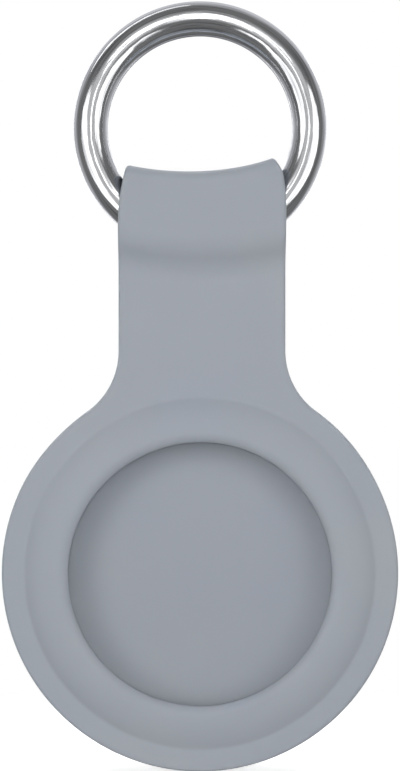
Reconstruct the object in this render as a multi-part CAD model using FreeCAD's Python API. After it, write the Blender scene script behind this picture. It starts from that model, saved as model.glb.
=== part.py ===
import FreeCAD, Part
import math
import os

from FreeCAD import Vector

# Tracker tag holder: a one-piece moulded silicone holder with a two-turn split key ring through its strap.
# Millimetres. +Z runs up the strap to the ring, the mouth of the tag pocket faces -Y,
# and the origin is on the pocket's axis, in the middle of the strap's thickness.

# The round tag that the pocket is moulded for
tag_diameter = 31.9
tag_thickness = 8.0
tag_play = 0.15

# Tag pocket: wall, back, and the lip that is stretched to let the tag in
pocket_wall = 1.55
back_wall = 1.6
floor_corner = 1.5
back_rim_round = 3.0
lip_reach = 2.9
lip_rise = 1.0
lip_edge_round = 0.9
lip_under_round = 0.5
lip_under_slope = 20.0
face_proud = 1.0

# Brim round the pocket, and the strap that grows out of it
brim_width = 2.35
plate_thickness = 3.0
strap_width = 16.8
strap_length = 12.15
neck_round = 7.5
crease_round = 0.4
brim_root_round = 1.0
edge_round = 0.35

# Key ring: two turns of half-round spring wire that lie together as a round section, wider than the strap
ring_side_room = 0.95
ring_wire = 3.5
turn_gap = 0.12
seam_chamfer = 0.2
jog_length = 5.0

# Strap loop round the ring's wire: a flat-fronted swell that falls away softly to the strap below the eye
ring_play = 0.2
loop_wall = 1.05
loop_rim_round = 0.25
crown_side_room = 1.95
crown_taper_length = 6.4
crown_overrun = 0.8
crown_sag_radius = 30.0
crown_edge_round = 1.0
shoulder_rise = 0.3
shoulder_round = 4.75
valley_round = 4.5

# Pocket sizes that follow from the tag
pocket_radius = tag_diameter / 2 + tag_play
cup_radius = pocket_radius + pocket_wall
mouth_radius = pocket_radius - lip_reach
brim_radius = cup_radius + brim_width
plate_front = -plate_thickness / 2
plate_back = plate_thickness / 2
lip_top = plate_front - lip_rise
floor_level = lip_top - face_proud + tag_thickness
back_level = floor_level + back_wall

# Ring sizes and its place above the brim
strap_half = strap_width / 2
wire_radius = ring_wire / 2
ring_inside_radius = strap_half + ring_side_room
ring_mean_radius = ring_inside_radius + wire_radius
ring_height = brim_radius + strap_length + ring_mean_radius + wire_radius

# The strap narrows along an arc to pass through the ring, a little past the corners of the loop's crown
crown_half = ring_inside_radius - crown_side_room
taper_depth = strap_half - crown_half
taper_round = (crown_taper_length**2 + taper_depth**2) / (2 * taper_depth)


def half_width(rise):
    """Half the strap's width at a height above the foot of the taper."""
    return strap_half - taper_round + math.copysign(math.sqrt(taper_round**2 - rise**2), taper_round)


def sag(x):
    """How far the crown's arc has risen at a distance from the strap's middle."""
    return crown_sag_radius - math.sqrt(crown_sag_radius**2 - x**2)


# The loop clears the wire all round, and its crown lies as low as the wire allows at the eye's two rims
corner_rise = crown_taper_length - crown_overrun
rim_half = half_width(corner_rise - loop_wall)
wire_rise = math.sqrt(ring_inside_radius**2 - rim_half**2)
play_upright = ring_play * ring_inside_radius / wire_rise
eye_radius = wire_radius + ring_play
loop_half = eye_radius + loop_wall
eye_top = ring_height - wire_rise + play_upright - sag(rim_half)
eye_centre = eye_top - eye_radius
eye_low_centre = ring_height - ring_mean_radius
crown_top = eye_top + loop_wall
taper_foot = crown_top + sag(half_width(corner_rise)) - corner_rise
sag_axis_height = crown_top + crown_sag_radius

# The fall from the swell to the strap: two arcs of equal turn, from the shoulder down to the valley
shoulder_height = eye_low_centre + shoulder_rise
fall_round = shoulder_round + valley_round
fall_turn = math.acos(1 - (loop_half + plate_front) / fall_round)
valley_height = shoulder_height - fall_round * math.sin(fall_turn)

# Directions, the ring's middle, and how near counts as touching
along_y = Vector(0, 1, 0)
along_z = Vector(0, 0, 1)
ring_middle = Vector(0, 0, ring_height)
touching = 1e-4


# Section planes: each maps two numbers of a drawing to a point of the model
def front_view(x, z):
    return Vector(x, 0, z)


def side_view(y, z):
    return Vector(0, y, z)


def top_view(x, y):
    return Vector(x, y, 0)


# Drawing helpers
def line(a, b):
    return Part.LineSegment(a, b).toShape()


def polar(centre, radius, degrees, plane):
    turn = math.radians(degrees)
    return plane(centre[0] + radius * math.cos(turn), centre[1] + radius * math.sin(turn))


def arc(centre, radius, start, end, plane):
    angles = (start, (start + end) / 2, end)
    return Part.Arc(*[polar(centre, radius, degrees, plane) for degrees in angles]).toShape()


def face(edges):
    return Part.Face(Part.Wire(Part.__sortEdges__(edges)))


def chain(points):
    return [line(a, b) for a, b in zip(points, points[1:])]


def front_outline():
    """Brim circle, hollow necks, straight strap sides and the taper to the crown, seen from the front."""
    neck_x = strap_half + neck_round
    neck_z = math.sqrt((brim_radius + neck_round) ** 2 - neck_x**2)
    neck_angle = math.degrees(math.atan2(neck_z, neck_x))
    taper_angle = math.degrees(math.asin(crown_taper_length / taper_round))
    taper_centre = (strap_half - taper_round, taper_foot)
    edges = [arc((0, 0), brim_radius, 180 - neck_angle, 360 + neck_angle, front_view)]
    for side in (1, -1):

        def mirrored(x, z, side=side):
            return front_view(side * x, z)

        edges.append(arc((neck_x, neck_z), neck_round, 180 + neck_angle, 180, mirrored))
        edges.append(line(mirrored(strap_half, neck_z), mirrored(strap_half, taper_foot)))
        edges.append(arc(taper_centre, taper_round, 0, taper_angle, mirrored))
    outline_top = taper_foot + crown_taper_length
    edges.append(line(front_view(crown_half, outline_top), front_view(-crown_half, outline_top)))
    return face(edges)


def strap_section():
    """Side section of brim, strap and loop: flat plate, hollow valley, swell over the wire, rounded crown."""
    foot = -2 * brim_radius
    fall_angle = math.degrees(fall_turn)
    valley_centre = (plate_front - valley_round, valley_height)
    shoulder_centre = (shoulder_round - loop_half, shoulder_height)
    edge_centre = (crown_edge_round - loop_half, crown_top - crown_edge_round)
    edges = [
        line(side_view(plate_front, foot), side_view(plate_back, foot)),
        line(side_view(edge_centre[0], crown_top), side_view(-edge_centre[0], crown_top)),
    ]
    for side in (1, -1):

        def mirrored(y, z, side=side):
            return side_view(side * y, z)

        edges.append(line(mirrored(plate_front, foot), mirrored(plate_front, valley_height)))
        edges.append(arc(valley_centre, valley_round, 0, fall_angle, mirrored))
        edges.append(arc(shoulder_centre, shoulder_round, 180 + fall_angle, 180, mirrored))
        edges.append(line(mirrored(-loop_half, shoulder_height), mirrored(-loop_half, edge_centre[1])))
        edges.append(arc(edge_centre, crown_edge_round, 180, 90, mirrored))
    return face(edges)


def eye_section():
    """Side section of the loop's eye: a long hole as wide as the wire with its play."""
    edges = [
        arc((0, eye_centre), eye_radius, 0, 180, side_view),
        arc((0, eye_low_centre), eye_radius, 180, 360, side_view),
    ]
    for y in (-eye_radius, eye_radius):
        edges.append(line(side_view(y, eye_centre), side_view(y, eye_low_centre)))
    return face(edges)


def swept_over_sag(section):
    """Carries a side section across the strap along the shallow arc that the ring's pull gives the loop."""
    half_angle = 45
    axis_point = Vector(0, 0, sag_axis_height)
    section.rotate(axis_point, along_y, -half_angle)
    return section.revolve(axis_point, along_y, 2 * half_angle)


def tag_cup():
    """Cup with a closed back and an overhanging lip, turned about the pocket's axis."""
    lip_peak = mouth_radius + lip_edge_round
    dome_run = cup_radius - lip_peak
    dome_round = (dome_run**2 + lip_rise**2) / (2 * lip_rise)
    dome_lean = math.degrees(math.asin(dome_run / dome_round))
    nose_level = lip_top + lip_edge_round
    under_centre = (mouth_radius + lip_under_round, nose_level)
    under_angle = 90 + lip_under_slope
    under_start = polar(under_centre, lip_under_round, under_angle, top_view)
    under_run = pocket_radius - under_start.x
    under_end = top_view(pocket_radius, under_start.y + under_run * math.tan(math.radians(lip_under_slope)))
    rim_centre = (cup_radius - back_rim_round, back_level - back_rim_round)
    corner_centre = (pocket_radius - floor_corner, floor_level - floor_corner)
    edges = [
        line(top_view(0, back_level), top_view(rim_centre[0], back_level)),
        arc(rim_centre, back_rim_round, 90, 0, top_view),
        line(top_view(cup_radius, rim_centre[1]), top_view(cup_radius, plate_front)),
        arc((lip_peak, lip_top + dome_round), dome_round, -90 + dome_lean, -90, top_view),
        arc((lip_peak, nose_level), lip_edge_round, -90, -180, top_view),
        arc(under_centre, lip_under_round, 180, under_angle, top_view),
        line(under_start, under_end),
        line(under_end, top_view(pocket_radius, corner_centre[1])),
        arc(corner_centre, floor_corner, 0, 90, top_view),
        line(top_view(corner_centre[0], floor_level), top_view(0, floor_level)),
        line(top_view(0, floor_level), top_view(0, back_level)),
    ]
    return face(edges).revolve(Vector(0, 0, 0), along_y, 360)


def is_outline_wall(surface):
    if isinstance(surface, Part.Plane):
        return abs(surface.Axis.y) < touching
    return isinstance(surface, Part.Cylinder) and abs(surface.Axis.y) > 1 - touching


def outline_edges(shape):
    """Edges between the walls of the front outline and the faces that they meet."""
    found = []
    for edge in shape.Edges:
        walls = [is_outline_wall(f.Surface) for f in shape.ancestorsOfType(edge, Part.Face)]
        if len(walls) == 2 and walls[0] != walls[1]:
            found.append(edge)
    return found


def edges_on(edges, tool):
    """Those of some edges that lie on the surface of the tool that cut them."""
    found = []
    for edge in edges:
        middle = Part.Vertex(edge.valueAt((edge.FirstParameter + edge.LastParameter) / 2))
        if min(f.distToShape(middle)[0] for f in tool.Faces) < touching:
            found.append(edge)
    return found


def circle_edges(shape, radius, level):
    """Edges of a shape that lie on one circle about the pocket's axis."""
    found = []
    for edge in shape.Edges:
        if isinstance(edge.Curve, Part.Circle):
            off_axis = math.hypot(edge.Curve.Center.x, edge.Curve.Center.z)
            off_level = abs(edge.Curve.Center.y - level)
            if max(off_axis, off_level, abs(edge.Curve.Radius - radius)) < touching:
                found.append(edge)
    return found


def silicone_holder():
    depth = 2 * (loop_half + plate_thickness)
    outline = front_outline()
    outline.translate(-along_y * (depth / 2))
    plate = outline.extrude(along_y * depth).common(swept_over_sag(strap_section()))
    plate = plate.makeFillet(edge_round, outline_edges(plate))
    eye = swept_over_sag(eye_section())
    plate = plate.cut(eye)
    plate = plate.makeFillet(loop_rim_round, edges_on(outline_edges(plate), eye))
    wall_middle = pocket_radius + pocket_wall / 2
    bore = Part.makeCylinder(wall_middle, depth, -along_y * (depth / 2), along_y)
    holder = plate.cut(bore).fuse(tag_cup())
    holder = holder.makeFillet(crease_round, circle_edges(holder, cup_radius, plate_front))
    holder = holder.makeFillet(brim_root_round, circle_edges(holder, cup_radius, plate_back))
    return holder


def split_ring():
    """Round ring cut along its middle plane into two turns, with one jog and a free end on each side."""
    ring = Part.makeTorus(ring_mean_radius, wire_radius, ring_middle, along_y)
    outer = ring_mean_radius + wire_radius + seam_chamfer
    inner = ring_inside_radius - seam_chamfer
    half_gap = turn_gap / 2
    flare = half_gap + 2 * seam_chamfer
    seam_points = [
        (inner, -flare),
        (inner + 2 * seam_chamfer, -half_gap),
        (outer - 2 * seam_chamfer, -half_gap),
        (outer, -flare),
        (outer, flare),
        (outer - 2 * seam_chamfer, half_gap),
        (inner + 2 * seam_chamfer, half_gap),
        (inner, flare),
        (inner, -flare),
    ]
    seam = face(chain([Vector(r, y, ring_height) for r, y in seam_points]))
    seam = seam.revolve(ring_middle, along_y, 360)
    jog_half = jog_length / 2
    jog_foot = ring_height - ring_mean_radius - ring_wire
    jog_height = 2 * ring_wire
    jog_room = Part.makeBox(jog_length, ring_wire, jog_height, Vector(-jog_half, -wire_radius, jog_foot))
    ring = ring.cut(seam.cut(jog_room))
    for side in (1, -1):
        corners = [(-jog_half, 0), (-jog_half, -ring_wire), (jog_half, -ring_wire), (jog_half, -wire_radius),
                   (-jog_half, 0)]
        notch = face(chain([Vector(side * x, side * y, jog_foot) for x, y in corners]))
        ring = ring.cut(notch.extrude(along_z * jog_height))
    return ring


os.makedirs("parts", exist_ok=True)
for name, piece in (("silicone_holder", silicone_holder()), ("split_ring", split_ring())):
    print(name, "valid", piece.isValid(), "solids", len(piece.Solids), "volume", round(piece.Volume, 1))
    piece.exportStep("parts/" + name + ".step")
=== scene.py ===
import bmesh
import bpy
import numpy as np
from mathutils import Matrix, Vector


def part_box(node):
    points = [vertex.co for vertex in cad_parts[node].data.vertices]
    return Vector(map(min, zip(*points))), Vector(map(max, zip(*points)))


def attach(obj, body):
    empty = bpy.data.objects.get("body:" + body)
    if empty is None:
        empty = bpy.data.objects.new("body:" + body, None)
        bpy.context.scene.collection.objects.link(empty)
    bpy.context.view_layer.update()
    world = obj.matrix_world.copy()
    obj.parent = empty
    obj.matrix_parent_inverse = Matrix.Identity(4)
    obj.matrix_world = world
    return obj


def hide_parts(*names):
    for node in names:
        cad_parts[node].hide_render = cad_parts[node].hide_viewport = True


# Tracker tag holder: a moulded silicone rubber holder and its plated split key ring.
# Sizes in the dictionaries are millimetres, angles are degrees, and +Z runs up the strap to the ring.
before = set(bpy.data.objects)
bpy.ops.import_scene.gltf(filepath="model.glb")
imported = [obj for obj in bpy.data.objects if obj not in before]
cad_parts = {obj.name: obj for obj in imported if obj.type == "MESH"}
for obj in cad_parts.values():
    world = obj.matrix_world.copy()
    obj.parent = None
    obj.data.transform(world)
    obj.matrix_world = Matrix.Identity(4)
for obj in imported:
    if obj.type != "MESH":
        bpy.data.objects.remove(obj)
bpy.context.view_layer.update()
scene = bpy.context.scene
scene.view_settings.view_transform = "Standard"
mm = 0.001
mergeReach = 0.001  # corners of a mesh that are nearer than this become one
samePoint = 1e-6  # points of a profile that are nearer than this are the same point
white = (1, 1, 1, 1)
print("frame loaded:", ", ".join(sorted(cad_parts)))


def linearColour(hexText):
    # an sRGB hex value as the linear colour that a shader takes, by the sRGB curve
    srgb = np.array([int(hexText[i:i + 2], 16) for i in (1, 3, 5)]) / 255
    linear = np.where(srgb <= 0.04045, srgb / 12.92, ((srgb + 0.055) / 1.055) ** 2.4)
    return (*linear.tolist(), 1.0)


def addNode(tree, kind, settings, links):
    # settings are the node's own properties, or its sockets by name or number;
    # links give the output that leads to each socket
    node = tree.nodes.new(kind)
    for key, value in settings.items():
        if isinstance(key, str) and hasattr(node, key):
            setattr(node, key, value)
        else:
            node.inputs[key].default_value = value
    for key, source in links.items():
        tree.links.new(source, node.inputs[key])
    return node


def newMaterial(name):
    material = bpy.data.materials.new(name)
    material.use_nodes = True
    material.node_tree.nodes.clear()
    return material, material.node_tree


def perMm(size):
    # a noise scale whose features are about that many millimetres wide
    return 1 / (size * mm)


def smooth(share):
    # a rise from 0 to 1 that starts and ends level
    share = np.clip(share, 0, 1)
    return share * share * (3 - 2 * share)


def arc(centre, radius, start, end, count):
    # points of a circular arc from one angle to another
    turn = np.radians(np.linspace(start, end, count))
    return np.stack([centre[0] + radius * np.cos(turn), centre[1] + radius * np.sin(turn)], axis=1)


def joined(*runs):
    # runs of points end to end, with the points that repeat left out
    points = np.concatenate(runs)
    step = np.linalg.norm(np.diff(points, axis=0), axis=1)
    return points[np.r_[True, step > samePoint]]


def ruled(start, end, count):
    # the rows between two rows of points, on straight lines from one to the other
    share = np.linspace(0, 1, count)[1:-1, None, None]
    return start + (end - start) * share


def gridFaces(rows, columns):
    # quads of a grid of points that is stored row by row
    row, column = np.meshgrid(np.arange(rows - 1), np.arange(columns - 1), indexing="ij")
    corner = row * columns + column
    return np.stack([corner, corner + 1, corner + columns + 1, corner + columns], axis=-1)


def closedMesh(name, points, quads, uvs):
    # points are millimetres; corners that meet are merged, so the shell closes, and its faces turn outwards
    mesh = bpy.data.meshes.new(name)
    mesh.from_pydata((points * mm).tolist(), [], quads.tolist())
    if uvs is not None:
        mesh.uv_layers.new(name="surface").data.foreach_set("uv", uvs[quads].ravel())
    shell = bmesh.new()
    shell.from_mesh(mesh)
    bmesh.ops.remove_doubles(shell, verts=shell.verts, dist=mergeReach * mm)
    bmesh.ops.recalc_face_normals(shell, faces=shell.faces)
    openEdges = sum(not edge.is_manifold for edge in shell.edges)
    shell.to_mesh(mesh)
    shell.free()
    print(name, "faces", len(mesh.polygons), "open edges", openEdges)
    return mesh


def makePiece(name, grids, uvs, material, body, node):
    # grids are pairs of points and quads, and the quads of each count from its own first point
    starts = np.cumsum([0] + [len(points) for points, quads in grids])
    allPoints = np.concatenate([points for points, quads in grids])
    allQuads = np.concatenate([grid[1] + start for grid, start in zip(grids, starts)])
    mesh = closedMesh(name, allPoints, allQuads, uvs)
    mesh.shade_smooth()
    mesh.materials.append(material)
    piece = bpy.data.objects.new(name, mesh)
    scene.collection.objects.link(piece)
    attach(piece, body)
    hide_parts(node)


# The key ring's place and size come from the CAD node
ringLow, ringHigh = (np.array(corner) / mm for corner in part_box("split_ring"))
ring = {
    "middleHeight": (ringLow[2] + ringHigh[2]) / 2,
    "outerRadius": (ringHigh[0] - ringLow[0]) / 2,
    "wireRadius": (ringHigh[1] - ringLow[1]) / 2,
    "halfGap": 0.06,
    "jogLength": 5.0,
    "endRound": 0.2,
    "endSteps": 6,
    "turnSteps": 260,
    "jogSteps": 40,
    "sectionSteps": 80,
    "cornerSteps": 2,
}
ring["meanRadius"] = ring["outerRadius"] - ring["wireRadius"]
ring["insideRadius"] = ring["meanRadius"] - ring["wireRadius"]

# One moulding: tag pocket with lip and brim, strap and loop
holder = {
    "pocketRadius": 16.1,
    "cupRadius": 17.65,
    "mouthRadius": 13.2,
    "brimRadius": 20.0,
    "plateHalf": 1.5,
    "lipRise": 1.0,
    "lipEdgeRound": 1.35,
    "lipEdgeTurn": 50,
    "lipNoseRise": 0.9,
    "lipUndercut": 0.2,
    "lipUnderRound": 0.5,
    "lipUnderSlope": 20,
    "floorLevel": 4.5,
    "floorCorner": 1.5,
    "backLevel": 6.1,
    "backRimRound": 3.0,
    "creaseRound": 0.8,
    "brimRootRound": 1.0,
    "edgeRound": 0.35,
    "neckRound": 7.5,
    "strapHalf": 8.4,
    "crownSideRoom": 1.95,
    "taperLength": 6.4,
    "crownOverrun": 0.8,
    "ringPlay": 0.2,
    "loopWall": 1.05,
    "crownEdge": 1.0,
    "shoulderRise": 0.3,
    "shoulderRound": 4.75,
    "sagRadius": 30.0,
    "valleyRound": 4.5,
    "rimRound": 0.25,
    "partingRise": 0.04,
    "partingHalf": 0.15,
    "strapLean": 0.2,
    "leanFrom": 8,
    "leanRun": 9,
    "crownLean": 0.1,
    "crownTilt": 0.4,
    "cornerPull": 0.6,
    "cornerBelow": 0.5,
    "cornerRun": 2.2,
    # how many points each stretch of the grids gets
    "steps": {
        "neck": 26, "brim": 180, "across": 41, "bend": 7, "plate": 8,
        "floor": 12, "floorCorner": 12, "pocketWall": 8, "lipUnderside": 6, "lipUnder": 7,
        "lipEdge": 16, "dome": 20, "crease": 9,
        "brimRoot": 12, "cupWall": 6, "backRim": 20, "back": 12,
        "side": 4, "ridge": 9, "ridgeFade": 6,
        "strap": 22, "valley": 18, "shoulder": 18, "loopFront": 22, "crownEdge": 16, "crown": 8,
        "eyeWall": 5, "eyeRim": 7, "bore": 31, "settling": 12,
    },
}


def holderShell(h):
    # Grids that share their borders. The disc is a profile turned about the pocket's axis, out to the brim's
    # edge and in again over the back. The band is the strap's side section carried across the strap.
    # Two strips close the strap's sides, and the eye runs from one side wall through the loop to the other.
    steps = h["steps"]
    rounding = h["edgeRound"]
    flat = h["plateHalf"]
    brim = h["brimRadius"] - h["partingRise"]
    half = h["strapHalf"]

    # Loop layout: the eye clears the wire all round, and the crown lies as low as the wire allows
    taperDepth = half - (ring["insideRadius"] - h["crownSideRoom"])
    taperRound = (h["taperLength"] ** 2 + taperDepth**2) / (2 * taperDepth)
    cornerRise = h["taperLength"] - h["crownOverrun"]

    def narrowed(rise):
        # half the strap's width at a height above the foot of the taper's arc
        return half - taperRound + np.sqrt(taperRound**2 - np.maximum(rise, 0) ** 2)

    def sag(x):
        # how far the crown's arc has risen at a distance from the middle
        return h["sagRadius"] - np.sqrt(h["sagRadius"] ** 2 - x**2)

    rimHalf = narrowed(cornerRise - h["loopWall"])
    wireRise = np.sqrt(ring["insideRadius"] ** 2 - rimHalf**2)
    uprightPlay = h["ringPlay"] * ring["insideRadius"] / wireRise
    eyeRadius = ring["wireRadius"] + h["ringPlay"]
    loopHalf = eyeRadius + h["loopWall"]
    eyeTop = ring["middleHeight"] - wireRise + uprightPlay - sag(rimHalf)
    eyeHigh = eyeTop - eyeRadius
    eyeLow = ring["middleHeight"] - ring["meanRadius"]
    crownTop = eyeTop + h["loopWall"]
    taperFoot = crownTop + sag(narrowed(cornerRise)) - cornerRise
    sagAxis = crownTop + h["sagRadius"]
    shoulder = eyeLow + h["shoulderRise"]
    fallRound = h["shoulderRound"] + h["valleyRound"]
    fallTurn = np.arccos(1 - (loopHalf - flat) / fallRound)
    fallAngle = np.degrees(fallTurn)
    valleyHeight = shoulder - fallRound * np.sin(fallTurn)

    # Front outline, set in by the edge rounding: right neck, round the brim, left neck,
    # then across the strap's foot
    neckX = half + h["neckRound"]
    neckZ = np.sqrt((brim + h["neckRound"]) ** 2 - neckX**2)
    neckAngle = np.degrees(np.arctan2(neckZ, neckX))
    neckDirection = arc((0, 0), 1, 180, 180 + neckAngle, steps["neck"])
    rightNeck = (neckX, neckZ) + (h["neckRound"] + rounding) * neckDirection
    brimDirection = arc((0, 0), 1, neckAngle, -180 - neckAngle, steps["brim"])[1:-1]
    mirror = np.array([-1, 1])
    edgeLine = np.concatenate([rightNeck, (brim - rounding) * brimDirection, (rightNeck * mirror)[::-1]])
    edgeOut = np.concatenate([-neckDirection, brimDirection, (-neckDirection * mirror)[::-1]])
    acrossStrap = np.linspace(-1, 1, steps["across"])
    strapFoot = np.stack([acrossStrap * (half - rounding), np.full(steps["across"], neckZ)], axis=1)
    outline = np.concatenate([edgeLine, strapFoot[1:-1], edgeLine[:1]])
    outward = np.concatenate([edgeOut, np.zeros((steps["across"] - 2, 2)), edgeOut[:1]])
    spokes = outline / np.linalg.norm(outline, axis=1, keepdims=True)

    # Pocket from the middle of its floor, under and over the lip, to the crease on the brim: (radius, y)
    lipPeak = h["mouthRadius"] + h["lipEdgeRound"] * np.sin(np.radians(h["lipEdgeTurn"]))
    lipTop = -flat - h["lipRise"]
    noseLevel = lipTop + h["lipNoseRise"]
    domeRound = ((h["cupRadius"] - lipPeak) ** 2 + h["lipRise"] ** 2) / (2 * h["lipRise"])
    domeLevel = lipTop + domeRound
    creaseLevel = -flat - h["creaseRound"]
    creaseRun = np.sqrt((domeRound + h["creaseRound"]) ** 2 - (domeLevel - creaseLevel) ** 2)
    domeEnd = np.degrees(np.arctan2(creaseLevel - domeLevel, creaseRun))
    cornerCentre = (h["pocketRadius"] - h["floorCorner"], h["floorLevel"] - h["floorCorner"])
    underCentre = (h["mouthRadius"] + h["lipUndercut"] + h["lipUnderRound"], noseLevel)
    underLip = arc(underCentre, h["lipUnderRound"], 90 + h["lipUnderSlope"], 180, steps["lipUnder"])
    underRun = h["pocketRadius"] - underLip[0, 0]
    underEnd = (h["pocketRadius"], underLip[0, 1] + underRun * np.tan(np.radians(h["lipUnderSlope"])))
    floorCorner = arc(cornerCentre, h["floorCorner"], 90, 0, steps["floorCorner"])
    lipCentre = (lipPeak, lipTop + h["lipEdgeRound"])
    pocket = joined(
        np.linspace((0, h["floorLevel"]), floorCorner[0], steps["floor"]),
        floorCorner,
        np.linspace(floorCorner[-1], underEnd, steps["pocketWall"]),
        np.linspace(underEnd, underLip[0], steps["lipUnderside"]),
        underLip,
        arc(lipCentre, h["lipEdgeRound"], 270 - h["lipEdgeTurn"], 270, steps["lipEdge"]),
        arc((lipPeak, domeLevel), domeRound, -90, domeEnd, steps["dome"]),
        arc((lipPeak + creaseRun, creaseLevel), h["creaseRound"], 180 + domeEnd, 90, steps["crease"]),
    )

    # Back of the cup from its root on the brim to the middle of the back: (radius, y)
    rimCentre = (h["cupRadius"] - h["backRimRound"], h["backLevel"] - h["backRimRound"])
    rootCentre = (h["cupRadius"] + h["brimRootRound"], flat + h["brimRootRound"])
    backRim = arc(rimCentre, h["backRimRound"], 0, 90, steps["backRim"])
    cupBack = joined(
        arc(rootCentre, h["brimRootRound"], 270, 180, steps["brimRoot"]),
        np.linspace((h["cupRadius"], rootCentre[1]), backRim[0], steps["cupWall"]),
        backRim,
        np.linspace(backRim[-1], (0, h["backLevel"]), steps["back"]),
    )

    # Rounded edge of the plate with the mould's parting line along its middle: (outward, y)
    ridge = h["partingHalf"] * np.linspace(-1, 1, steps["ridge"])
    frontSide = np.linspace(rounding - flat, ridge[0], steps["side"])
    backSide = np.linspace(ridge[-1], flat - rounding, steps["side"])
    sideY = np.r_[frontSide[:-1], ridge, backSide[1:]]
    sideRise = h["partingRise"] * smooth(1 - np.abs(sideY) / h["partingHalf"])
    plateEdge = joined(
        arc((0, rounding - flat), rounding, -90, 0, steps["bend"]),
        np.stack([rounding + sideRise, sideY], axis=1),
        arc((0, flat - rounding), rounding, 0, 90, steps["bend"]),
    )

    def turned(profile):
        # a profile turned about the pocket's axis, one point on each spoke
        radius, y = profile[:, 0, None], profile[:, 1, None]
        return np.stack(np.broadcast_arrays(radius * spokes[:, 0], y, radius * spokes[:, 1]), axis=-1)

    out, y = plateEdge[:, 0, None], plateEdge[:, 1, None]
    edgeX = outline[:, 0] + out * outward[:, 0]
    edgeZ = outline[:, 1] + out * outward[:, 1]
    edgeRows = np.stack(np.broadcast_arrays(edgeX, y, edgeZ), axis=-1)
    pocketRows, backRows = turned(pocket), turned(cupBack)
    plateFront = ruled(pocketRows[-1], edgeRows[0], steps["plate"])
    plateBack = ruled(edgeRows[-1], backRows[0], steps["plate"])
    disc = np.concatenate([pocketRows, plateFront, edgeRows, plateBack, backRows])
    discFaces = gridFaces(*disc.shape[:2])
    edgeStart = len(pocketRows) + len(plateFront)
    strapOpening = np.zeros(discFaces.shape[:2], bool)
    strapOpening[edgeStart:edgeStart + len(edgeRows) - 1, len(edgeLine) - 1:] = True
    discFaces = discFaces[~strapOpening]

    # The section is carried across the strap along a shallow arc, which fades out at the strap's foot
    def sagRise(z, x):
        reach = sagAxis - z
        return smooth((z - neckZ) / (valleyHeight - neckZ)) * (reach - np.sqrt(reach**2 - x**2))

    def sideWall(z):
        # the width depends on the height after the sag, and the sag on the width,
        # so they settle in a few rounds
        x = np.full(np.shape(z), half)
        for settling in range(steps["settling"]):
            x = narrowed(z + sagRise(z, x) - taperFoot)
        return x

    def strapLean(z, x):
        # the soft strap leans a little to the right, the crown a little more,
        # and the crown's right corner is pulled in
        lean = h["strapLean"] * smooth((z - h["leanFrom"]) / h["leanRun"])
        crown = smooth((z - eyeLow) / (crownTop - eyeLow))
        corner = smooth((z - crownTop + h["cornerBelow"]) / h["cornerRun"]) * np.maximum(x, 0) / half
        return lean + h["crownLean"] * crown - h["cornerPull"] * corner

    def crownTilt(z, x):
        # the crown lies lower at the left
        return smooth((z - eyeLow) / (crownTop - eyeLow)) * h["crownTilt"] * x / half

    # Strap and loop: the section from the front foot over the crown to the back foot, as (y, z)
    shoulderCentre = (h["shoulderRound"] - loopHalf, shoulder)
    crownCentre = (h["crownEdge"] - loopHalf, crownTop - h["crownEdge"])
    frontRun = joined(
        np.linspace((-flat, neckZ), (-flat, valleyHeight), steps["strap"]),
        arc((-flat - h["valleyRound"], valleyHeight), h["valleyRound"], 0, fallAngle, steps["valley"]),
        arc(shoulderCentre, h["shoulderRound"], 180 + fallAngle, 180, steps["shoulder"]),
        np.linspace((-loopHalf, shoulder), (-loopHalf, crownCentre[1]), steps["loopFront"]),
        arc(crownCentre, h["crownEdge"], 180, 90, steps["crownEdge"]),
        np.linspace((crownCentre[0], crownTop), (0, crownTop), steps["crown"]),
    )
    section = joined(frontRun, frontRun[::-1] * mirror)
    along = np.gradient(section, axis=0)
    along /= np.linalg.norm(along, axis=1, keepdims=True)
    inward = np.stack([along[:, 1], -along[:, 0]], axis=1)
    bend = np.radians(np.linspace(0, 90, steps["bend"]))[1:]
    columnBend = np.r_[bend[::-1], np.zeros(steps["across"]), bend]
    columnShare = np.r_[-np.ones(len(bend)), acrossStrap, np.ones(len(bend))]
    depth = rounding * (1 - np.cos(columnBend))
    bandY = section[:, :1] + depth * inward[:, :1]
    bandBase = section[:, 1:] + depth * inward[:, 1:]
    roundedOut = np.sign(columnShare) * rounding * np.sin(columnBend)
    bandX = columnShare * (sideWall(bandBase) - rounding) + roundedOut
    bandZ = bandBase + sagRise(bandBase, bandX) + crownTilt(bandBase, bandX)
    band = np.stack([bandX + strapLean(bandZ, bandX), bandY, bandZ], axis=-1)

    # Side walls below the eye, from the front edge to the back edge
    edgeY, edgeBase = bandY[:, -1], bandBase[:, -1]
    footRows = np.argmin(np.abs(frontRun[:, 1] - (eyeLow - eyeRadius - h["loopWall"]))) + 1
    stripBase = edgeBase[:footRows, None]
    stripY = sideY * edgeY[:footRows, None] / edgeY[0]
    ridgeFade = smooth(np.arange(footRows)[::-1, None] / steps["ridgeFade"])
    stripX = sideWall(stripBase) + sideRise * ridgeFade
    stripY = np.broadcast_to(stripY, stripX.shape)
    strips = []
    for side in (1, -1):
        wallX = side * stripX
        wallZ = stripBase + sagRise(stripBase, stripX) + crownTilt(stripBase, wallX)
        strips.append(np.stack([wallX + strapLean(wallZ, wallX), stripY, wallZ], axis=-1))

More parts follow.
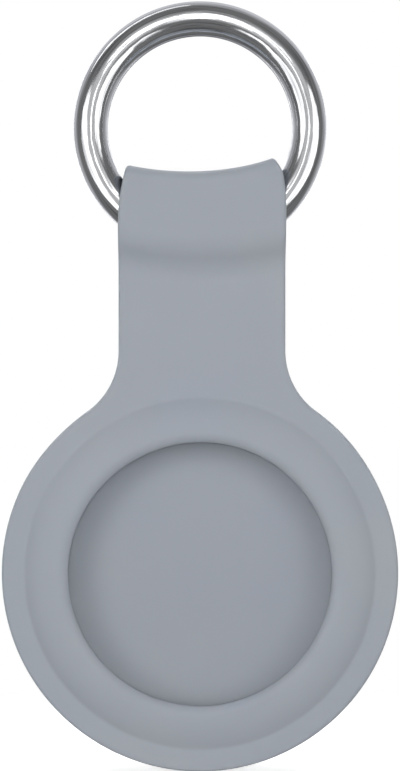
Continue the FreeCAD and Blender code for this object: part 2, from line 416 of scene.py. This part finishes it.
    # Eye: from the right wall's outline to its rim, through the loop and out to the left wall's outline
    last = len(section) - footRows
    wallLine = np.concatenate([
        np.stack([edgeY[footRows - 1:last + 1], edgeBase[footRows - 1:last + 1]], axis=1),
        np.stack([stripY[-1, ::-1], np.full(len(sideY), edgeBase[footRows - 1])], axis=1)[1:],
    ])
    core = np.stack([np.zeros(len(wallLine)), np.clip(wallLine[:, 1], eyeLow, eyeHigh)], axis=1)
    aim = wallLine - core
    aim /= np.linalg.norm(aim, axis=1, keepdims=True)
    rimBend = np.radians(np.linspace(0, 90, steps["eyeRim"]))
    rimOut = eyeRadius + h["rimRound"] * (1 - np.sin(rimBend))
    rimInset = h["rimRound"] * (1 - np.cos(rimBend))
    rim = core + rimOut[:, None, None] * aim
    wallRows = np.concatenate([wallLine[None], ruled(wallLine, rim[0], steps["eyeWall"]), rim])
    wallInset = np.r_[np.zeros(len(wallRows) - len(rim)), rimInset]
    boreShare = np.linspace(1, -1, steps["bore"])[1:-1]
    eyeRows = np.concatenate([wallRows, np.repeat(rim[-1:], len(boreShare), axis=0), wallRows[::-1]])
    eyeShare = np.r_[np.ones(len(wallRows)), boreShare, -np.ones(len(wallRows))][:, None]
    eyeInset = np.r_[wallInset, np.full(len(boreShare), h["rimRound"]), wallInset[::-1]][:, None]
    eyeBase = eyeRows[..., 1]
    eyeX = eyeShare * (sideWall(eyeBase) - eyeInset)
    # the bore stays true to the ring: only the outline of each wall tilts,
    # and the lean takes in the left wall
    skin = np.zeros((len(eyeRows), 1))
    skin[:steps["eyeWall"], 0] = np.linspace(1, 0, steps["eyeWall"])
    skin[-steps["eyeWall"]:, 0] = np.linspace(0, 1, steps["eyeWall"])
    leanShare = np.maximum(skin, (1 - eyeShare) / 2)
    outlineZ = eyeBase + sagRise(eyeBase, eyeX) + skin * crownTilt(eyeBase, eyeX)
    eyeLean = leanShare * strapLean(outlineZ, eyeX)
    eyeZ = outlineZ + (1 - skin) * (sagRise(eyeBase, eyeX + eyeLean) - sagRise(eyeBase, eyeX))
    eye = np.stack([eyeX + eyeLean, eyeRows[..., 0], eyeZ], axis=-1)

    disc[..., 0] += strapLean(disc[..., 2], disc[..., 0])
    grids = [(disc, discFaces)] + [(grid, gridFaces(*grid.shape[:2])) for grid in (band, eye, *strips)]
    return [(points.reshape(-1, 3), quads.reshape(-1, 4)) for points, quads in grids]


def splitRing(r):
    # A wire of half-round section wound twice round: back turn, jog across at the bottom, front turn.
    # At each step the round section of the pair is cut between two planes y = low and y = high.
    wire, gap = r["wireRadius"], r["halfGap"]
    jogHalf = r["jogLength"] / 2 / r["meanRadius"]
    endBend = np.radians(np.linspace(0, 90, r["endSteps"]))
    endTurn = r["endRound"] / r["meanRadius"] * (1 - np.cos(endBend))
    start, end = jogHalf, 4 * np.pi - jogHalf
    turn = np.concatenate([
        start + endTurn,
        np.linspace(start + endTurn[-1], 2 * np.pi - jogHalf, r["turnSteps"])[1:],
        np.linspace(2 * np.pi - jogHalf, 2 * np.pi + jogHalf, r["jogSteps"])[1:],
        np.linspace(2 * np.pi + jogHalf, end - endTurn[-1], r["turnSteps"])[1:],
        end - endTurn[::-1][1:],
    ])
    cross = smooth((turn - 2 * np.pi + jogHalf) / (2 * jogHalf))[:, None]
    low = gap - cross * (wire + gap)
    high = wire - cross * (wire + gap)

    # Even steps round the section: outer arc, face at high, inner arc, face at low
    angleLow, angleHigh = np.arcsin(low / wire), np.arcsin(high / wire)
    arcLength = wire * (angleHigh - angleLow)
    faceHigh, faceLow = 2 * wire * np.cos(angleHigh), 2 * wire * np.cos(angleLow)
    total = 2 * arcLength + faceHigh + faceLow
    s = total * np.linspace(0, 1, r["sectionSteps"], endpoint=False)
    runs = [s < arcLength, s < arcLength + faceHigh, s < 2 * arcLength + faceHigh]
    outerAngle = angleLow + s / wire
    innerAngle = angleHigh - (s - arcLength - faceHigh) / wire
    outward = np.select(
        runs,
        [wire * np.cos(outerAngle), faceHigh / 2 - (s - arcLength), -wire * np.cos(innerAngle)],
        s - 2 * arcLength - faceHigh - faceLow / 2,
    )
    y = np.select(
        runs,
        [wire * np.sin(outerAngle), high + 0 * s, wire * np.sin(innerAngle)],
        low + 0 * s,
    )
    # a running mean round the section takes the sharp corners off
    shifts = range(-r["cornerSteps"], r["cornerSteps"] + 1)
    outward = np.mean([np.roll(outward, shift, axis=1) for shift in shifts], axis=0)
    y = np.mean([np.roll(y, shift, axis=1) for shift in shifts], axis=0)

    # the cut ends are rounded over and closed
    fromEnd = np.minimum(turn - start, end - turn) * r["meanRadius"]
    short = np.maximum(r["endRound"] - fromEnd, 0)
    draw = r["endRound"] - np.sqrt(np.maximum(r["endRound"] ** 2 - short**2, 0))
    shrink = 1 - draw[:, None] / (wire / 2)
    middleY = (low + high) / 2
    outward, y = outward * shrink, middleY + (y - middleY) * shrink
    outward = np.concatenate([0 * outward[:1], outward, 0 * outward[-1:]])
    y = np.concatenate([0 * y[:1] + middleY[0], y, 0 * y[-1:] + middleY[-1]])
    turn = np.r_[turn[0], turn, turn[-1]][:, None]
    s = np.concatenate([s[:1], s, s[-1:]])
    outward, y, s = (np.concatenate([a, a[:, :1]], axis=1) for a in (outward, y, s))
    s[:, -1] = np.r_[total[0], total[:, 0], total[-1]]

    # the UV map runs along the wire and round its section, in metres
    radius = r["meanRadius"] + outward
    points = np.stack([radius * np.sin(turn), y, r["middleHeight"] - radius * np.cos(turn)], axis=-1)
    uvs = np.stack(np.broadcast_arrays(turn * r["meanRadius"], s), axis=-1).reshape(-1, 2) * mm
    return [(points.reshape(-1, 3), gridFaces(*points.shape[:2]).reshape(-1, 4))], uvs


# Liquid silicone rubber from a spark-eroded mould: matt, with a soft broad sheen and a hint of cloudiness
siliconeLook = {
    "colour": "#969CA7",
    "cloudColour": "#9DA2A7",
    "cloudSize": 12.0,
    "grainSize": 0.22,  # the real texture is about 0.05, drawn coarser so that it shows
    "grainDepth": 0.004,
    "grainStrength": 0.5,
    "roughness": (0.52, 0.62),
    "ior": 1.41,
}


def siliconeRubber(look):
    material, tree = newMaterial("moulded_silicone_rubber")
    place = addNode(tree, "ShaderNodeTexCoord", {}, {})
    cloud = addNode(tree, "ShaderNodeTexNoise", {"Scale": perMm(look["cloudSize"]), "Detail": 3},
                    {"Vector": place.outputs["Object"]})
    grain = addNode(tree, "ShaderNodeTexNoise", {"Scale": perMm(look["grainSize"]), "Detail": 2},
                    {"Vector": place.outputs["Object"]})
    colour = addNode(tree, "ShaderNodeMix",
                     {"data_type": "RGBA", 6: linearColour(look["colour"]),
                      7: linearColour(look["cloudColour"])},
                     {0: cloud.outputs[0]})
    roughness = addNode(tree, "ShaderNodeMapRange",
                        {"To Min": look["roughness"][0], "To Max": look["roughness"][1]},
                        {"Value": grain.outputs[0]})
    bump = addNode(tree, "ShaderNodeBump",
                   {"Strength": look["grainStrength"], "Distance": look["grainDepth"] * mm},
                   {"Height": grain.outputs[0]})
    rubber = addNode(tree, "ShaderNodeBsdfPrincipled", {"IOR": look["ior"]},
                     {"Base Color": colour.outputs[2], "Roughness": roughness.outputs[0],
                      "Normal": bump.outputs[0]})
    addNode(tree, "ShaderNodeOutputMaterial", {}, {"Surface": rubber.outputs[0]})
    return material


# Chrome-plated spring steel, drawn and tumble polished: a bright mirror, a little wavy,
# softened by duller lines along the wire
chromeLook = {
    "colour": "#D6D7D9",
    "lineColour": "#9C9DA0",
    "hairlineLength": 8.0,
    "hairlineWidth": 0.2,  # real polishing lines are about 0.02, drawn coarser so that they show
    "hairlineDepth": 0.004,
    "hairlineEdge": (0.48, 0.72),
    "waveLength": 3.5,
    "waveWidth": 0.9,
    "waveDepth": 0.03,
    "roughness": (0.1, 0.2),
}


def chromePlate(look):
    material, tree = newMaterial("chrome_plated_steel")
    place = addNode(tree, "ShaderNodeUVMap", {"uv_map": "surface"}, {})
    patterns = []
    for pattern in ("hairline", "wave"):
        size = (perMm(look[pattern + "Length"]), perMm(look[pattern + "Width"]), 1)
        stretch = addNode(tree, "ShaderNodeMapping", {"Scale": size}, {"Vector": place.outputs[0]})
        patterns.append(addNode(tree, "ShaderNodeTexNoise", {"Scale": 1, "Detail": 2},
                                {"Vector": stretch.outputs[0]}))
    hairline, wave = patterns
    line = addNode(tree, "ShaderNodeMapRange",
                   {"From Min": look["hairlineEdge"][0], "From Max": look["hairlineEdge"][1]},
                   {"Value": hairline.outputs[0]})
    roughness = addNode(tree, "ShaderNodeMapRange",
                        {"To Min": look["roughness"][0], "To Max": look["roughness"][1]},
                        {"Value": line.outputs[0]})
    waves = addNode(tree, "ShaderNodeBump", {"Strength": 1, "Distance": look["waveDepth"] * mm},
                    {"Height": wave.outputs[0]})
    lines = addNode(tree, "ShaderNodeBump", {"Strength": 1, "Distance": look["hairlineDepth"] * mm},
                    {"Height": hairline.outputs[0], "Normal": waves.outputs[0]})
    colour = addNode(tree, "ShaderNodeMix",
                     {"data_type": "RGBA", 6: linearColour(look["colour"]),
                      7: linearColour(look["lineColour"])},
                     {0: line.outputs[0]})
    plate = addNode(tree, "ShaderNodeBsdfPrincipled", {"Metallic": 1},
                    {"Base Color": colour.outputs[2], "Roughness": roughness.outputs[0],
                     "Normal": lines.outputs[0]})
    addNode(tree, "ShaderNodeOutputMaterial", {}, {"Surface": plate.outputs[0]})
    return material


makePiece("holder_moulding", holderShell(holder), None, siliconeRubber(siliconeLook),
          "holder", "silicone_holder")
ringGrids, ringUvs = splitRing(ring)
makePiece("key_ring_wire", ringGrids, ringUvs, chromePlate(chromeLook),
          "key_ring", "split_ring")


# The camera looks straight at the front, and viewHeight is what the tall picture spans at the object
shot = {"lens": 75, "sensor": 36, "viewHeight": 78.19, "aimHeight": 18.9}
distance = shot["lens"] / shot["sensor"] * shot["viewHeight"] * mm
cameraData = bpy.data.cameras.new("front_camera")
cameraData.lens = shot["lens"]
cameraData.sensor_width = shot["sensor"]
camera = bpy.data.objects.new("front_camera", cameraData)
camera.location = (0, -distance, shot["aimHeight"] * mm)
camera.rotation_euler = (np.pi / 2, 0, 0)
scene.collection.objects.link(camera)
scene.camera = camera
print("camera:", round(distance / mm), "mm in front")

# Lamps by their places as the object sees them: degrees right of the camera's axis and above it,
# where an up of more than 90 leans over to the back, then the degrees that they fill,
# how bright they glow, and how far away they hang.
# The soft lamps light the rubber, and the white cards show as bands in the metal.
softLamps = {
    "front_lamp": {"right": 0, "up": 0, "wide": 3, "high": 3, "level": 530.0, "away": 163},
    "over_camera_lamp": {"right": 0, "up": 8, "wide": 20, "high": 10, "level": 4.0, "away": 800},
    "left_lamp": {"right": -20, "up": 7, "wide": 25, "high": 21, "level": 5.6, "away": 800},
    "right_lamp": {"right": 20, "up": 7, "wide": 25, "high": 21, "level": 4.3, "away": 800},
    "top_lamp": {"right": -3, "up": 20, "wide": 40, "high": 10, "level": 3.4, "away": 800},
    "low_lamp": {"right": 0, "up": -78, "wide": 30, "high": 30, "level": 1.3, "away": 100},
    "left_side_lamp": {"right": -104, "up": 10, "wide": 36, "high": 36, "level": 2.8, "away": 400},
    "right_side_lamp": {"right": 104, "up": 10, "wide": 36, "high": 36, "level": 2.6, "away": 400},
    "back_lamp": {"right": 0, "up": 120, "wide": 36, "high": 36, "level": 7.0, "away": 400},
}
whiteCards = {
    "front_card": {"right": 0, "up": 6, "wide": 7, "high": 26, "level": 2.2, "away": 150},
    "upper_card": {"right": 0, "up": 21, "wide": 30, "high": 10, "level": 1.8, "away": 150},
    "left_card": {"right": -44, "up": -3, "wide": 42, "high": 50, "level": 1.55, "away": 150},
    "right_card": {"right": 44, "up": -3, "wide": 42, "high": 50, "level": 1.55, "away": 150},
    "lower_left_card": {"right": -25, "up": -24, "wide": 16, "high": 18, "level": 1.6, "away": 150},
    "lower_right_card": {"right": 25, "up": -24, "wide": 16, "high": 18, "level": 1.4, "away": 150},
    "overhead_card": {"right": -94, "up": 60, "wide": 10, "high": 52, "level": 1.6, "away": 150},
    "back_card": {"right": 180, "up": 16, "wide": 30, "high": 8, "level": 1.8, "away": 150},
    "back_left_card": {"right": -153, "up": 4, "wide": 8, "high": 50, "level": 1.8, "away": 150},
    "back_right_card": {"right": 153, "up": 4, "wide": 8, "high": 50, "level": 1.8, "away": 150},
}


def hangLamps(lamps, height, onRubber):
    # each lamp is an oval that faces the object's middle line at that height
    for name, lamp in lamps.items():
        right, up = np.radians(lamp["right"]), np.radians(lamp["up"])
        towards = np.array([np.sin(right) * np.cos(up), -np.cos(right) * np.cos(up), np.sin(up)])
        data = bpy.data.lights.new(name, "AREA")
        data.shape = "ELLIPSE"
        data.size = 2 * lamp["away"] * mm * np.tan(np.radians(lamp["wide"] / 2))
        data.size_y = 2 * lamp["away"] * mm * np.tan(np.radians(lamp["high"] / 2))
        ovalArea = np.pi / 4 * data.size * data.size_y
        data.energy = lamp["level"] * np.pi * ovalArea  # the power that makes an even glow of that level
        hung = bpy.data.objects.new(name, data)
        hung.location = (np.array([0, 0, height]) + towards * lamp["away"]) * mm
        hung.rotation_euler = (np.pi / 2 - up, 0, right)
        hung.visible_camera = False
        hung.visible_diffuse = onRubber
        hung.visible_glossy = not onRubber
        scene.collection.objects.link(hung)
    print("lamps:", ", ".join(lamps))


hangLamps(softLamps, shot["aimHeight"], True)
hangLamps(whiteCards, ring["middleHeight"], False)

# What the object sees round it: a dim room behind the camera with a paler patch a little above it,
# and a white backdrop behind, which ramps up to its level. The backdrop fades towards the floor and straight
# behind the object, so that the metal has some contrast from the back too, and it is a little cool
# in reflections. The camera itself sees plain white.
room = {"patch": 0.65, "dim": 0.2, "patchUp": 12, "patchEdge": (20, 34), "onRubber": 0.35,
        "backdrop": 0.85, "backdropUp": 15, "backdropEdge": (83, 135), "backdropTint": "#EBECF3",
        "lowShare": 0.3, "lowEdge": (-38, -16), "behindShare": 0.5, "behindEdge": (30, 12)}


def whiteStudio(r):
    # each level follows the cosine of the angle between the line of sight and the middle of what it shows
    world = bpy.data.worlds.new("white_studio")
    scene.world = world
    world.use_nodes = True
    tree = world.node_tree
    tree.nodes.clear()
    direction = addNode(tree, "ShaderNodeTexCoord", {}, {})
    part = addNode(tree, "ShaderNodeSeparateXYZ", {}, {0: direction.outputs["Generated"]})
    path = addNode(tree, "ShaderNodeLightPath", {}, {})
    patchUp, backdropUp = np.radians(r["patchUp"]), np.radians(r["backdropUp"])
    patchEdge, backdropEdge = np.cos(np.radians(r["patchEdge"])), np.cos(np.radians(r["backdropEdge"]))
    lowEdge, behindEdge = np.sin(np.radians(r["lowEdge"])), np.cos(np.radians(r["behindEdge"]))

    # the dim room with its paler patch, weaker where it lights the rubber
    nearPatch = addNode(tree, "ShaderNodeVectorMath",
                        {"operation": "DOT_PRODUCT", 1: (0, -np.cos(patchUp), np.sin(patchUp))},
                        {0: direction.outputs["Generated"]})
    patch = addNode(tree, "ShaderNodeMapRange",
                    {"interpolation_type": "SMOOTHSTEP", "From Min": patchEdge[1], "From Max": patchEdge[0],
                     "To Min": r["dim"], "To Max": r["patch"]}, {"Value": nearPatch.outputs["Value"]})
    share = addNode(tree, "ShaderNodeMapRange", {"To Min": 1, "To Max": r["onRubber"]},
                    {"Value": path.outputs["Is Diffuse Ray"]})
    dimRoom = addNode(tree, "ShaderNodeMath", {"operation": "MULTIPLY"},
                      {0: patch.outputs[0], 1: share.outputs[0]})

    # the backdrop with its two fades
    nearBackdrop = addNode(tree, "ShaderNodeVectorMath",
                           {"operation": "DOT_PRODUCT", 1: (0, np.cos(backdropUp), np.sin(backdropUp))},
                           {0: direction.outputs["Generated"]})
    ramp = addNode(tree, "ShaderNodeMapRange",
                   {"From Min": -backdropEdge[0], "From Max": -backdropEdge[1], "To Max": r["backdrop"]},
                   {"Value": nearBackdrop.outputs["Value"]})
    low = addNode(tree, "ShaderNodeMapRange",
                  {"interpolation_type": "SMOOTHSTEP", "From Min": lowEdge[0], "From Max": lowEdge[1],
                   "To Min": r["lowShare"]}, {"Value": part.outputs["Z"]})
    behind = addNode(tree, "ShaderNodeMapRange",
                     {"interpolation_type": "SMOOTHSTEP", "From Min": behindEdge[0],
                      "From Max": behindEdge[1], "To Min": 1, "To Max": r["behindShare"]},
                     {"Value": part.outputs["Y"]})
    fade = addNode(tree, "ShaderNodeMath", {"operation": "MULTIPLY"},
                   {0: low.outputs[0], 1: behind.outputs[0]})
    backdrop = addNode(tree, "ShaderNodeMath", {"operation": "MULTIPLY"},
                       {0: ramp.outputs[0], 1: fade.outputs[0]})

    # together, with plain white for what is seen directly and the cool tint for reflections
    around = addNode(tree, "ShaderNodeMath", {"operation": "MAXIMUM"},
                     {0: dimRoom.outputs[0], 1: backdrop.outputs[0]})
    seen = addNode(tree, "ShaderNodeMath", {"operation": "MAXIMUM"},
                   {0: path.outputs["Is Camera Ray"], 1: path.outputs["Is Transmission Ray"]})
    level = addNode(tree, "ShaderNodeMath", {"operation": "MAXIMUM"},
                    {0: seen.outputs[0], 1: around.outputs[0]})
    cool = addNode(tree, "ShaderNodeMath", {"operation": "MULTIPLY"},
                   {0: ramp.outputs[0], 1: path.outputs["Is Glossy Ray"]})
    tint = addNode(tree, "ShaderNodeMix",
                   {"data_type": "RGBA", 6: white, 7: linearColour(r["backdropTint"])}, {0: cool.outputs[0]})
    studio = addNode(tree, "ShaderNodeBackground", {},
                     {"Color": tint.outputs[2], "Strength": level.outputs[0]})
    addNode(tree, "ShaderNodeOutputWorld", {}, {"Surface": studio.outputs[0]})


whiteStudio(room)

# A small white table under the brim. To the camera it glows a little, so that only the shadow shows on it,
# and it turns to the backdrop's white towards its rim, so that its edge vanishes.
# In the metal it shows a darker grey: painted shade, standing in for the table lying in the object's shade.
table = {"radius": 60.0, "height": -20.0, "thickness": 3.0, "turnSteps": 97,
         "colour": "#D8D8D8", "shadedInMetal": "#707070", "glow": 0.62, "rimEdge": (24, 46)}


def tableTop(t):
    # a disc turned about Z: centre, edge, edge below, centre below
    profile = np.array([(0, 0), (t["radius"], 0), (t["radius"], -t["thickness"]), (0, -t["thickness"])])
    turn = np.linspace(0, 2 * np.pi, t["turnSteps"])
    radius, drop = profile[:, :1], profile[:, 1:]
    height = t["height"] + drop + 0 * turn
    disc = np.stack([radius * np.cos(turn), radius * np.sin(turn), height], axis=-1)
    mesh = closedMesh("white_table", disc.reshape(-1, 3), gridFaces(*disc.shape[:2]).reshape(-1, 4), None)

    material, tree = newMaterial("white_table_paint")
    path = addNode(tree, "ShaderNodeLightPath", {}, {})
    place = addNode(tree, "ShaderNodeTexCoord", {}, {})
    # painted shade: reflections in the metal see the table a darker grey than the camera sees it
    colour = addNode(tree, "ShaderNodeMix",
                     {"data_type": "RGBA", 6: linearColour(t["shadedInMetal"]), 7: linearColour(t["colour"])},
                     {0: path.outputs["Is Camera Ray"]})
    paint = addNode(tree, "ShaderNodeBsdfDiffuse", {}, {"Color": colour.outputs[2]})
    glow = addNode(tree, "ShaderNodeMath", {"operation": "MULTIPLY", 1: t["glow"]},
                   {0: path.outputs["Is Camera Ray"]})
    light = addNode(tree, "ShaderNodeEmission", {"Color": white}, {"Strength": glow.outputs[0]})
    middle = addNode(tree, "ShaderNodeAddShader", {}, {0: paint.outputs[0], 1: light.outputs[0]})
    flat = addNode(tree, "ShaderNodeVectorMath", {"operation": "MULTIPLY", 1: (1, 1, 0)},
                   {0: place.outputs["Object"]})
    reach = addNode(tree, "ShaderNodeVectorMath", {"operation": "LENGTH"}, {0: flat.outputs[0]})
    toRim = addNode(tree, "ShaderNodeMapRange",
                    {"interpolation_type": "SMOOTHSTEP", "From Min": t["rimEdge"][0] * mm,
                     "From Max": t["rimEdge"][1] * mm}, {"Value": reach.outputs["Value"]})
    rimShare = addNode(tree, "ShaderNodeMath", {"operation": "MULTIPLY"},
                       {0: path.outputs["Is Camera Ray"], 1: toRim.outputs[0]})
    rim = addNode(tree, "ShaderNodeEmission", {"Color": white, "Strength": 1}, {})
    whole = addNode(tree, "ShaderNodeMixShader", {},
                    {0: rimShare.outputs[0], 1: middle.outputs[0], 2: rim.outputs[0]})
    addNode(tree, "ShaderNodeOutputMaterial", {}, {"Surface": whole.outputs[0]})
    mesh.materials.append(material)

    top = bpy.data.objects.new("white_table", mesh)
    top.visible_diffuse = False
    top.visible_shadow = False
    scene.collection.objects.link(top)


tableTop(table)
print("studio ready")
